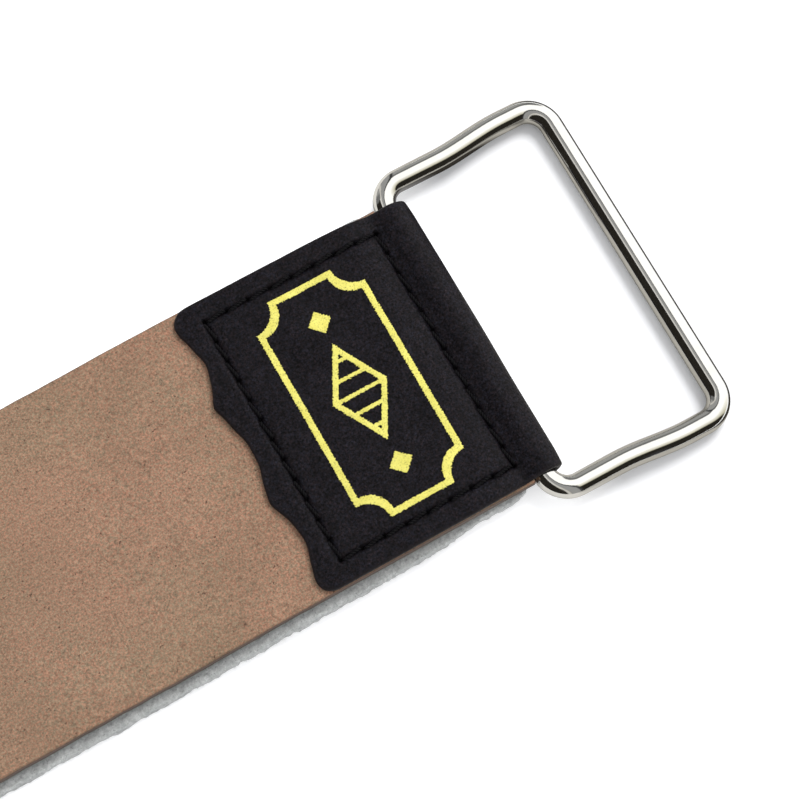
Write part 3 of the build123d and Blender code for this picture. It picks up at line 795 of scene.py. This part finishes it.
def stitch(start, end, face, fold, side, phase):
    """Two plies twisted round each other, from one needle hole to the next."""
    run = end - start
    length = np.linalg.norm(run)
    t = np.linspace(0, 1, STITCH_STEPS)
    across = np.array([-run[1], run[0]]) / length
    slant = STITCH_SLANT * np.cos(np.pi * t)
    plan = start + np.outer(t, run) + np.outer(slant, across)
    level = straps_half(plan[:, 0]) + FLAP - THREAD_DEPTH - valley(plan[:, 0])
    dive = THREAD_DIVE * (hump(t, DIVE_SHARE) + hump(1 - t, DIVE_SHARE))
    spine = np.stack([plan[:, 0], plan[:, 1], (level - dive) * face], -1)
    twist = phase + 2 * np.pi * length * t / TWIST_PITCH
    lift = np.outer(np.cos(twist), (0, 0, 1.0)) * PLY_TURN
    sway = np.sin(twist)[:, None] * np.array([across[0], across[1], 0]) * PLY_TURN
    plies = []
    for sign in (1, -1):
        path = to_frame(spine + sign * (lift + sway), fold, side)
        plies.append(tube_rings(path, PLY_RADIUS, PLY_SIDES))
    return plies


def seam(name, face, fold, side, seed):
    """All the stitches that show on one face of a cap."""
    rng = np.random.default_rng(seed)
    vertices, faces, count = [], [], 0
    for start, end in zip(HOLES, np.roll(HOLES, -1, axis=0)):
        for rings in stitch(start, end, face, fold, side, rng.uniform(0, 2 * np.pi)):
            faces += bar_faces(count, *rings.shape[:2])
            vertices.append(rings.reshape(-1, 3))
            count += len(vertices[-1])
    return new_object(name, np.concatenate(vertices), faces, MATERIALS["black_thread"])


# ---- gold ornament ----


def inside_plate(x, y, length, width):
    """How far inside a plate with scooped corners a point lies."""
    box = np.minimum(length / 2 - np.abs(x), width / 2 - np.abs(y))
    corner = np.hypot(np.abs(x) - length / 2, np.abs(y) - width / 2)
    return np.minimum(box, corner - FOIL_NOTCH)


def inside_lozenge(x, y, length, width):
    """How far inside a lozenge a point lies."""
    share = 1 - 2 * np.abs(x) / length - 2 * np.abs(y) / width
    return share * length * width / (2 * math.hypot(length, width))


def inside_foil(x, y):
    """How far inside the gold a point lies, below nought where there is none."""
    border = np.minimum(
        inside_plate(x, y, FOIL_LENGTH, FOIL_WIDTH),
        -inside_plate(x, y, FOIL_LENGTH - 2 * FOIL_LINE, FOIL_WIDTH - 2 * FOIL_LINE),
    )
    big = inside_lozenge(x, y, *FOIL_BIG)
    inner_length = FOIL_BIG[0] - 2 * FOIL_LINE
    inner_width = FOIL_BIG[1] * inner_length / FOIL_BIG[0]
    ring = np.minimum(big, -inside_lozenge(x, y, inner_length, inner_width))
    step = FOIL_BIG[1] / (FOIL_BARS + 1)
    nearest = np.abs((y + step / 2) % step - step / 2)
    bars = np.minimum(big, FOIL_THIN_LINE / 2 - nearest)
    small = inside_lozenge(x, np.abs(y) - FOIL_SMALL_PLACE, FOIL_SMALL, FOIL_SMALL)
    return np.maximum.reduce([border, ring, bars, small])


def pulled_to_edge(x, y):
    """The leaf's points, those beside the gold drawn to its ragged edge, and which are gold."""
    ragged = ripples(41, FOIL_RAGGED_LENGTH, waves=36)(x, y)
    inside = inside_foil(x, y) + FOIL_RAGGED * ragged
    slope_x, slope_y = np.gradient(inside, FOIL_CELL)
    steep = np.maximum(np.hypot(slope_x, slope_y), FOIL_LEAST_SLOPE)
    pull = np.clip(np.where(inside < 0, -inside, 0) / steep, 0, FOIL_MOST_PULL)
    return x + pull * slope_x / steep, y + pull * slope_y / steep, inside > 0


def ornament(name, seed):
    """The gold pattern as a thin leaf over the upper flap of the handle's cap."""
    halves = [size / 2 + FOIL_CELL for size in (FOIL_LENGTH, FOIL_WIDTH)]
    grid = np.meshgrid(*[np.arange(-half, half, FOIL_CELL) for half in halves], indexing="ij")
    x, y, gold = pulled_to_edge(*grid)
    golden_corners = gold[:-1, :-1].astype(int) + gold[1:, :-1] + gold[1:, 1:] + gold[:-1, 1:]
    faces = grid_quads(np.arange(x.size).reshape(x.shape))[(golden_corners >= 2).ravel()]
    used, faces = np.unique(faces, return_inverse=True)
    faces = faces.reshape(-1, 4)
    depth = (FOIL_CENTRE - x).ravel()[used]
    across = y.ravel()[used]
    waves = uneven(seed + 20, FLAP_WAVES, depth, across)
    surface = STRAPS_HALF + FLAP + waves - pressed(depth, across)
    sheets = []
    for lift in (FOIL_LIFT, -FOIL_SINK):
        sheets.append(to_frame(np.stack([depth, across, surface + lift], -1), HANDLE_FOLD, 1))
    edges = np.concatenate([faces[:, [i, (i + 1) % 4]] for i in range(4)])
    kinds, counts = np.unique(np.sort(edges, 1), axis=0, return_counts=True)
    rim = kinds[counts == 1]
    walls = np.stack([rim[:, 0], rim[:, 1], rim[:, 1] + len(used), rim[:, 0] + len(used)], -1)
    faces = np.concatenate([faces, faces + len(used), walls])
    return new_object(name, np.concatenate(sheets), faces.tolist(), MATERIALS["gold_foil"])


# ---- straps ----


def fold_depth(x):
    """Distance in from the nearer fold's outer edge."""
    return np.minimum(HANDLE_FOLD - x, x - HANGER_FOLD)


def sag(depth):
    """How far the straps have dropped towards the table."""
    return SAG_DROP * smooth_step((depth - SAG_START) / SAG_LENGTH)


def bar_outline(half, thickness, radius, steps):
    """A flat bar's rounded outline as Y, height share and nearness to its cut sides."""
    flat = np.linspace(-half + radius, half - radius, steps)
    bend = np.linspace(0, np.pi / 2, BEND_STEPS)[1:]
    out = half - radius * (1 - np.sin(bend))
    up = radius * (1 - np.cos(bend))
    side_y = np.concatenate([out, [half], out[::-1]])
    side_z = np.concatenate([up, [thickness / 2], thickness - up[::-1]])
    side_cut = np.concatenate([np.ones(len(bend) + 1), np.sin(bend[::-1]) ** 2])
    level = np.full(steps, thickness)
    y = np.concatenate([flat, side_y, flat[::-1], -side_y[::-1]])
    z = np.concatenate([0 * level, side_z, level, side_z[::-1]])
    cut = np.concatenate([0 * level, side_cut, 0 * level, side_cut[::-1]])
    return y, z / thickness, cut


def clear_of_caps(depth):
    """Nought inside the caps, one in the open."""
    return smooth_step((depth - FREE_DEPTH) / CLEARING)


def strap_places(cell):
    """Places along the straps, from one end to the other."""
    return places(HANGER_FOLD + STRAP_END, HANDLE_FOLD - STRAP_END, cell)


def leather_strap():
    """The honing leather, lying slightly unevenly, its edges bevelled and burnished."""
    x = strap_places(LEATHER_CELL)
    y, share, nearness = bar_outline(LEATHER_HALF, LEATHER, LEATHER_BEVEL, LEATHER_STEPS)
    depth = fold_depth(x)
    top = MID + straps_half(depth) - LAYER_GAP - sag(depth)
    low = INTERFACE - sag(depth)
    height = low[:, None] + share[None, :] * (top - low)[:, None]
    along, across = np.meshgrid(x, y, indexing="ij")
    open_part = clear_of_caps(depth)[:, None]
    height = height + open_part * share[None, :] * uneven(51, LEATHER_WAVES, along, across)
    cut = uneven(53, LEATHER_EDGE_WAVES, x)
    across = across + open_part * np.sign(across) * (nearness[None, :] * cut[:, None])
    rings = np.stack([along, across, height], -1)
    edge = np.broadcast_to(nearness, along.shape).ravel()
    return closed_bar("honing_leather", rings, MATERIALS["honing_leather"], {"edge": edge})


def felt_half(depth):
    """Half the felt's width, rounded off at its two ends."""
    past = np.clip(FELT_CORNER - (depth - STRAP_END), 0, FELT_CORNER)
    return FELT_HALF - (FELT_CORNER - np.sqrt(FELT_CORNER**2 - past**2))


def felt_shift(depth):
    """How far the felt lies to one side of the leather."""
    return FELT_SHIFT * smooth_step((depth - FELT_SHIFT_START) / FELT_SHIFT_REACH)


def felt_strap():
    """The felt, its sides lumpy and soft."""
    x = strap_places(FELT_CELL)
    y, share, _ = bar_outline(FELT_HALF, FELT, FELT_ROUND, FELT_STEPS)
    depth = fold_depth(x)
    top = INTERFACE - LAYER_GAP - sag(depth)
    low = MID - straps_half(depth) + LAYER_GAP - sag(depth)
    height = low[:, None] + share[None, :] * (top - low)[:, None]
    along, across = np.meshgrid(x, y, indexing="ij")
    across = across * (felt_half(depth) / FELT_HALF)[:, None] - felt_shift(depth)[:, None]
    rim = np.clip(1 - (FELT_HALF - np.abs(y)) / FELT_SOFT_RIM, 0, 1)[None, :]
    across = across + np.sign(y)[None, :] * rim * uneven(61, FELT_WAVES, along, across, height)
    swell = rim * uneven(63, FELT_RIM_WAVES, along, across)
    height = height + swell * np.sin(np.pi * share)[None, :]
    rings = np.stack([along, across, height], -1)
    return closed_bar("felt_backing", rings, MATERIALS["grey_felt"])


def fibre_roots(rng):
    """Where the loose fibres leave the felt, which way they point and how long they are."""
    side = rng.choice((-1.0, 1.0), FIBRES)
    inset = STRAP_END + FELT_CORNER
    x = rng.uniform(HANGER_FOLD + inset, HANDLE_FOLD - inset, FIBRES)
    depth = fold_depth(x)
    low = MID - straps_half(depth) - sag(depth)
    z = low + rng.uniform(*FIBRE_HEIGHTS, FIBRES) * FELT
    root = np.stack([x, side * (FELT_HALF - FIBRE_ROOT) - felt_shift(depth), z], -1)
    lean = rng.normal(0, 1.1, FIBRES)
    outward = side * rng.uniform(0.25, 1.0, FIBRES)
    way = np.stack([lean, outward, rng.normal(0, 0.5, FIBRES)], -1)
    way /= np.linalg.norm(way, axis=1)[:, None]
    curl = FIBRE_CURL * rng.normal(0, 1, (FIBRES, 3))
    length = rng.uniform(*FIBRE_LENGTHS, FIBRES)
    length *= np.clip((depth - FELT_SHIFT_START) / FELT_SHIFT_REACH, 0.2, 1)
    return root, way, curl, length[:, None]


def fibre_faces():
    """The faces of every fibre: rings of three points and a tip."""
    stride = 3 * FIBRE_STEPS + 1
    sides = []
    for i in range(FIBRE_STEPS - 1):
        for j in range(3):
            a, b = 3 * i + j, 3 * i + (j + 1) % 3
            sides.append((a, b, b + 3, a + 3))
    last = stride - 4
    ends = [(last + j, last + (j + 1) % 3, stride - 1) for j in range(3)] + [(2, 1, 0)]
    firsts = stride * np.arange(FIBRES)[:, None, None]
    faces = []
    for one in (np.array(sides), np.array(ends)):
        faces += (one + firsts).reshape(-1, one.shape[1]).tolist()
    return faces


def felt_fuzz():
    """Loose fibres standing out from the felt's two long sides."""
    root, way, curl, length = fibre_roots(np.random.default_rng(64))
    side_way = np.cross(way, (0, 0, 1.0))
    side_way /= np.linalg.norm(side_way, axis=1)[:, None]
    third = np.cross(way, side_way)
    vertices = []
    for t in np.arange(FIBRE_STEPS + 1) / FIBRE_STEPS:
        centre = root + (way * t + curl * t * t) * length
        centre[:, 2] = np.maximum(centre[:, 2], FIBRE_FLOOR)
        if t == 1:
            vertices.append(centre)
            break
        radius = FIBRE_RADIUS * (1 - FIBRE_TAPER * t)
        for turn in np.radians((0, 120, 240)):
            vertices.append(centre + radius * (math.cos(turn) * side_way + math.sin(turn) * third))
    points = np.stack(vertices, 1).reshape(-1, 3)
    return new_object("felt_fuzz", points, fibre_faces(), MATERIALS["felt_hair"])


# ---- wire ----


def arc(centre, radius, start, end, steps=20):
    """Points along an arc, its angles in degrees."""
    turns = np.radians(np.linspace(start, end, steps))
    return np.stack([centre[0] + radius * np.cos(turns), centre[1] + radius * np.sin(turns)], -1)


def line(start, end, steps=12):
    """Points along a straight piece, without its two ends."""
    t = np.linspace(0, 1, steps + 2)[1:-1, None]
    return np.asarray(start) + t * (np.asarray(end) - np.asarray(start))


def mirrored(half):
    """A half outline and its mirror image across the strop's middle."""
    return np.concatenate([half, (half * (1, -1))[::-1]])


def bent_wire(name, plan, bend_places, pivot, tilt, side):
    """Round wire along an outline, turned about its bar, a little flattened in its bends."""
    sharp = np.zeros(len(plan))
    for place in bend_places:
        for sign in (1, -1):
            away = np.hypot(plan[:, 0] - place[0], plan[:, 1] - sign * place[1])
            sharp = np.maximum(sharp, hump(away, FLATTENED_REACH))
    radius = WIRE * (1 - WIRE_FLATTENING * sharp)
    path = np.stack(
        [side * plan[:, 0] * math.cos(tilt), plan[:, 1], plan[:, 0] * math.sin(tilt)], -1
    )
    rings = tube_rings(path + np.array(pivot), radius, WIRE_SIDES)
    return closed_bar(name, rings, MATERIALS["chrome_wire"])


def handle_loop():
    """The wire handle, flaring a little towards its far bar."""
    near = LOOP_NEAR_HALF - LOOP_NEAR_BEND
    far = LOOP_FAR_HALF - LOOP_FAR_BEND
    t = np.linspace(0, 1, 24)
    flare = np.stack(
        [
            LOOP_FLARE[0] + (LOOP_FLARE[1] - LOOP_FLARE[0]) * t,
            LOOP_NEAR_HALF + (LOOP_FAR_HALF - LOOP_NEAR_HALF) * smooth_step(t),
        ],
        -1,
    )
    far_start = LOOP_REACH - LOOP_FAR_BEND
    half = np.concatenate(
        [
            [(0, BUTT_GAP / 2)],
            line((0, BUTT_GAP / 2), (0, near)),
            arc((LOOP_NEAR_BEND, near), LOOP_NEAR_BEND, 180, 90),
            line((LOOP_NEAR_BEND, LOOP_NEAR_HALF), flare[0], 6),
            flare,
            arc((far_start, far), LOOP_FAR_BEND, 90, 0),
            line((LOOP_REACH, far), (LOOP_REACH, 0), 12),
        ]
    )
    droop = -math.asin((MID - WIRE) / LOOP_REACH)
    bends = [(LOOP_NEAR_BEND / 3, LOOP_NEAR_HALF), (LOOP_REACH, LOOP_FAR_HALF)]
    pivot = JOINTS["handle_swing"]["pos_m"]
    return bent_wire("handle_wire_loop", mirrored(half), bends, pivot, droop, 1)


def hanger_ring():
    """The three-cornered ring that carries the swivel hook."""
    pivot = JOINTS["ring_swing"]["pos_m"]
    apex = JOINTS["eye_swing"]["pos_m"]
    run = pivot[0] - apex[0]
    tilt = math.atan2(apex[2] - pivot[2], run)
    reach = math.hypot(run, apex[2] - pivot[2])
    centre = reach - RING_APEX_BEND
    base = math.degrees(RING_BASE_ANGLE)
    corner = arc((RING_BEND, RING_BAR_HALF), RING_BEND, 180, base)
    tip = arc((centre, 0), RING_APEX_BEND, base, 0, 14)
    half = np.concatenate(
        [
            [(0, BUTT_GAP / 2)],
            line((0, BUTT_GAP / 2), (0, RING_BAR_HALF)),
            corner,
            line(corner[-1], tip[0], 12),
            tip[:-1],
        ]
    )
    plan = np.concatenate([half, [(reach, 0)], (half * (1, -1))[::-1]])
    bends = [(0, RING_BAR_HALF + RING_BEND)]
    return bent_wire("triangle_ring", plan, bends, pivot, tilt, -1)


def spring():
    """The coil behind the bolt, with closed ends."""
    way = np.array(JOINTS["hook_swivel"]["axis"])
    low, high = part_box("bolt_spring")
    middle = np.array((low + high) / 2)
    length = (high.x - low.x) * SPRING_SHARE - 2 * SPRING_WIRE
    t = np.linspace(0, 1, SPRING_STEPS)
    rise = np.clip((t - SPRING_CLOSED) / (1 - 2 * SPRING_CLOSED), 0, 1)
    turn = 2 * np.pi * SPRING_TURNS * t
    across = np.array((0, 1.0, 0))
    path = (
        middle
        + np.outer((rise - 0.5) * length, way)
        + np.outer(np.cos(turn) * SPRING_COIL, across)
        + np.outer(np.sin(turn) * SPRING_COIL, np.cross(way, across))
    )
    rings = tube_rings(path, SPRING_WIRE, SPRING_SIDES)
    piece = closed_bar("bolt_coil_spring", rings, MATERIALS["spring_steel"])
    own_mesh(piece)
    return piece


# ---- floor, light and camera ----

FLOOR_SIZE = 6.0
FLOOR_DROP = 0.2 * MM
# the floor's glow beside the straps, a painted light that washes out their shadow
FLOOR_GLOW = 0.42
FLOOR_GREY = (0.83, 0.83, 0.84)
# the floor's colours in the plating's reflections only: a painted reflection, with painted shade near the
# handle and painted white beyond the far bar
MIRRORED_FLOOR = (0.44, 0.42, 0.375)
MIRRORED_SHADE = (0.04, 0.035, 0.03)
MIRRORED_BEYOND = (1.0, 1.0, 0.98)
ARM_SHADE_START = 10.0 * MM
ROOM_WHITE = (0.95, 0.96, 0.975)
KEY_WAY = (0.56, 0.28, 0.78)
KEY_AIM = (0.24, 0, 0)
KEY_DISTANCE = 0.85
KEY_SIZE = 0.43
KEY_POWER = 5.5
FAR_BAR = JOINTS["handle_swing"]["pos_m"][0] + LOOP_REACH
CAMERA_PLACE = (0.21403, -0.10034, 0.43735)
CAMERA_WAY = (0.155938, 0.214306, -0.964239)
CAMERA_UP = (0.470825, 0.842024, 0.263286)
CAMERA_LENS = 103.46


def pale_floor(tree):
    """Pale floor, glowing a little beside the straps as painted light that washes out their shadow. Its
    mirror image in the plating is a painted reflection: a dim warm grey, with painted shade near the
    handle.
    """
    place = node(tree, "ShaderNodeTexCoord").outputs["Object"]
    along, across, _ = node(tree, "ShaderNodeSeparateXYZ", {0: place}).outputs
    # painted reflection: the floor as the plating mirrors it, with painted shade under and just beyond the
    # far bar and beside one arm, and painted white further out
    under_bar = spread(tree, along, FAR_BAR, FAR_BAR + 2 * MM)
    beyond_bar = spread(tree, along, FAR_BAR + 14 * MM, FAR_BAR + 18 * MM)
    inner_edge = (ARM_SHADE_START, ARM_SHADE_START + 6 * MM)
    outer_edge = (LOOP_NEAR_HALF + WIRE, LOOP_NEAR_HALF + WIRE / 2)
    short_of_bar = spread(tree, along, FAR_BAR - 8 * MM, FAR_BAR - 14 * MM)
    by_arm = maths(tree, "MULTIPLY", band(tree, across, inner_edge, outer_edge), short_of_bar)
    shade = maths(tree, "MAXIMUM", under_bar, by_arm)
    mirrored = blend_colours(tree, shade, MIRRORED_FLOOR, MIRRORED_SHADE)
    mirrored = blend_colours(tree, beyond_bar, mirrored, MIRRORED_BEYOND)
    is_mirrored = node(tree, "ShaderNodeLightPath").outputs["Is Glossy Ray"]
    # painted light: the floor glows beside the straps, washing out their shadow
    beside_straps = (HANDLE_FOLD + 10 * MM, HANDLE_FOLD - 2 * MM)
    return {
        "Base Color": blend_colours(tree, is_mirrored, FLOOR_GREY, mirrored),
        "Roughness": 1.0,
        "Specular IOR Level": 0.0,
        "Emission Color": (1, 1, 1, 1),
        "Emission Strength": spread(tree, along, *beside_straps, 0.0, FLOOR_GLOW),
    }


def floor():
    """A wide pale floor just under the strop."""
    mesh = bpy.data.meshes.new("floor")
    work = bmesh.new()
    bmesh.ops.create_grid(work, x_segments=8, y_segments=8, size=FLOOR_SIZE / 2)
    work.to_mesh(mesh)
    work.free()
    mesh.materials.append(painted("pale_floor", pale_floor))
    plane = placed("floor", mesh)
    plane.location = (0, 0, -FLOOR_DROP)


def mirrored_studio(tree):
    """The studio as the plating mirrors it, by direction: lamp, beam, grey wall and dark room."""
    way = node(tree, "ShaderNodeTexCoord").outputs["Generated"]
    x, y, _ = node(tree, "ShaderNodeSeparateXYZ", {0: way}).outputs
    lamp = band(tree, y, (-0.64, -0.55), (0.66, 0.60))
    lamp = maths(tree, "MULTIPLY", lamp, spread(tree, x, -0.42, -0.36))
    lamp_colour = blend_colours(tree, spread(tree, y, -0.55, -0.15), (0.90, 0.86, 0.66), (1.75, 1.74, 1.68))
    beam = band(tree, x, (-0.24, -0.20), (0.20, 0.18))
    beam_colour = blend_colours(tree, spread(tree, x, 0.09, 0.12), (0.46, 0.46, 0.45), (0.06, 0.06, 0.06))
    lamp_rim = band(tree, x, (-0.37, -0.33), (-0.21, -0.25))
    colour = (0.026, 0.023, 0.018)
    for amount, over in (
        (spread(tree, y, 0.61, 0.65), (0.24, 0.24, 0.235)),
        (spread(tree, y, 0.78, 0.84), (0.46, 0.46, 0.44)),
        (lamp, lamp_colour),
        (beam, beam_colour),
        (lamp_rim, (0.85, 0.82, 0.76)),
    ):
        colour = blend_colours(tree, amount, colour, over)
    return colour


def sky():
    """Even white light from all round, and a studio in the plating's reflections."""
    world = bpy.data.worlds.new("studio")
    bpy.context.scene.world = world
    world.use_nodes = True
    tree = world.node_tree
    tree.nodes.clear()
    is_mirrored = node(tree, "ShaderNodeLightPath").outputs["Is Glossy Ray"]
    colour = blend_colours(tree, is_mirrored, ROOM_WHITE, mirrored_studio(tree))
    surface = node(tree, "ShaderNodeBackground", {"Color": colour, "Strength": 1.0})
    output = node(tree, "ShaderNodeOutputWorld")
    tree.links.new(surface.outputs[0], output.inputs[0])


def key_light():
    """One large soft lamp, high on the far right."""
    data = bpy.data.lights.new("key", "AREA")
    data.shape = "DISK"
    data.size = KEY_SIZE
    data.energy = KEY_POWER
    lamp = placed("key", data)
    way = Vector(KEY_WAY).normalized()
    lamp.location = Vector(KEY_AIM) + way * KEY_DISTANCE
    lamp.rotation_mode = "QUATERNION"
    lamp.rotation_quaternion = way.to_track_quat("Z", "Y")
    lamp.visible_glossy = False


def camera():
    """The camera, high over the handle's end."""
    data = bpy.data.cameras.new("camera")
    data.lens = CAMERA_LENS
    data.sensor_width = 36.0
    data.clip_start = 0.01
    view = placed("camera", data)
    back = -Vector(CAMERA_WAY).normalized()
    right = Vector(CAMERA_UP).cross(back).normalized()
    up = back.cross(right)
    turned = Matrix((right, up, back)).transposed().to_4x4()
    view.matrix_world = Matrix.Translation(CAMERA_PLACE) @ turned
    bpy.context.scene.camera = view


# ---- assembly ----


def attach(piece, body, slot, *nodes):
    """Let a piece move with its body, in place of the CAD nodes it stands for."""
    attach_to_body(piece, body)
    if nodes:
        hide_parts(*nodes)
    return piece


def caps_and_sewing():
    """Both end caps, their four seams and the gold ornament."""
    for end, fold, side, seed in (("handle", HANDLE_FOLD, 1, 100), ("hanger", HANGER_FOLD, -1, 200)):
        cap = end_cap(f"{end}_end_cap", fold, side, seed)
        attach(cap, "strop", "cap_leather", f"{end}_cap")
        for face, run, thread in ((1, "upper", "needle"), (-1, "lower", "bobbin")):
            sewing = seam(f"{end}_{run}_stitching", face, fold, side, seed + 50 + face)
            attach(sewing, "strop", "black_thread", f"{end}_cap_{thread}_thread")
    attach(ornament("gold_ornament", 100), "strop", "gold_foil", "handle_cap_foil")


def straps():
    """The leather and the felt under it."""
    attach(leather_strap(), "strop", "honing_leather", "leather_strap")
    felt = attach(felt_strap(), "strop", "grey_felt", "felt_strap")
    fuzz = attach(felt_fuzz(), "strop", "grey_felt")


def hardware():
    """Handle, ring and spring as new pieces, and the castings with their plating."""
    attach(handle_loop(), "handle", "chrome_wire", "handle_loop")
    attach(hanger_ring(), "ring", "chrome_wire", "hanger_ring")
    attach(spring(), "snap_hook", "spring_steel", "bolt_spring")
    for name in ("swivel_eye", "snap_hook_body", "snap_bolt", "thumb_knob"):
        casting = frame["nodes"][name]
        casting.data.materials.clear()
        casting.data.materials.append(MATERIALS["chrome_casting"])


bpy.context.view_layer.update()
caps_and_sewing()
straps()
hardware()
floor()
sky()
key_light()
camera()
bpy.context.scene.view_settings.view_transform = "Standard"
